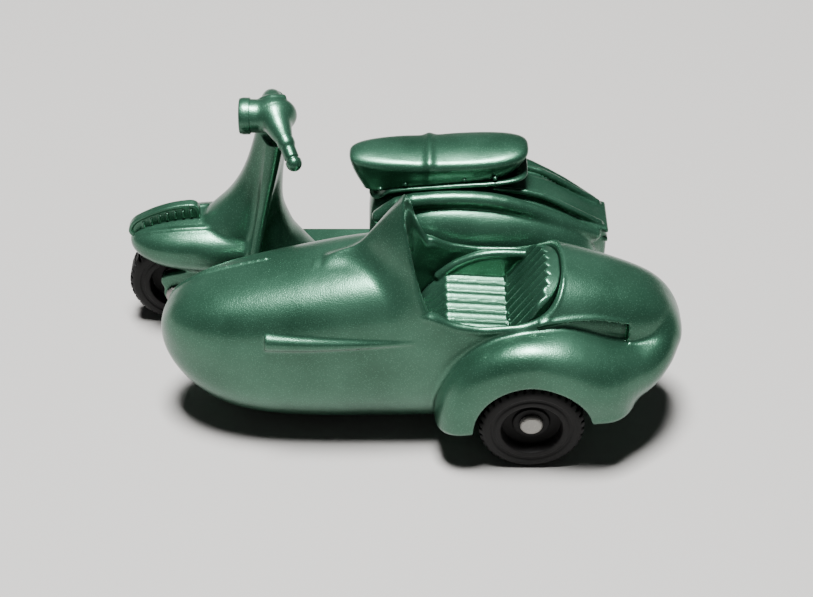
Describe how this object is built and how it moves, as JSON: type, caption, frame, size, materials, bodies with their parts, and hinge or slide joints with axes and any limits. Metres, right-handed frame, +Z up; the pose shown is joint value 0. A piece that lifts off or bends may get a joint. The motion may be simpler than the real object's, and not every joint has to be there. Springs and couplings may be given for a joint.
{
  "type": "toy scooter with sidecar",
  "caption": "Small die-cast toy motor scooter with a sidecar on its left, rolling on three plastic wheels; pushed along by hand.",
  "frame": {"origin": "on the ground, under the centre of the toy's overall box", "axes": "+Z up, -X forward, -Y towards the sidecar (the scooter's left)"},
  "size_m": [0.0514, 0.0281, 0.0256],
  "materials": {
    "green_paint": "metallic green enamel, semi-gloss",
    "black_plastic": "moulded black, low sheen",
    "bare_axle": "bare grey wire, upset heads"
  },
  "bodies": {
    "toy": {"column_cover": "green_paint", "footboard": "green_paint", "fork_leg_left": "green_paint", "fork_leg_right": "green_paint", "front_axle": "bare_axle", "front_mudguard": "green_paint", "handgrip_left": "green_paint", "handgrip_right": "green_paint", "handlebar_headset": "green_paint", "headlamp_rim": "green_paint", "leg_shield": "green_paint", "number_plate": "green_paint", "rear_axle": "bare_axle", "saddle": "green_paint", "saddle_pan": "green_paint", "scooter_frame": "green_paint", "side_panel_left": "green_paint", "side_panel_right": "green_paint", "sidecar_chassis": "green_paint", "sidecar_mudguard": "green_paint", "sidecar_screen": "green_paint", "sidecar_seat": "green_paint", "sidecar_shell": "green_paint", "sidecar_strake": "green_paint", "tail_lamp_block": "green_paint"},
    "front_wheel": {"front_wheel": "black_plastic"},
    "rear_wheel": {"rear_wheel": "black_plastic"},
    "sidecar_wheel": {"sidecar_wheel": "black_plastic"}
  },
  "joints": [
    {"name": "front_wheel_spin", "type": "hinge", "parent": "toy", "child": "front_wheel", "pos_m": [-0.0212, 0.00805, 0.0047], "axis": [0, 1, 0], "continuous": true},
    {"name": "rear_wheel_spin", "type": "hinge", "parent": "toy", "child": "rear_wheel", "pos_m": [0.0119, 0.00805, 0.0047], "axis": [0, 1, 0], "continuous": true},
    {"name": "sidecar_wheel_spin", "type": "hinge", "parent": "toy", "child": "sidecar_wheel", "pos_m": [0.0119, -0.01215, 0.0047], "axis": [0, 1, 0], "continuous": true}
  ]
}
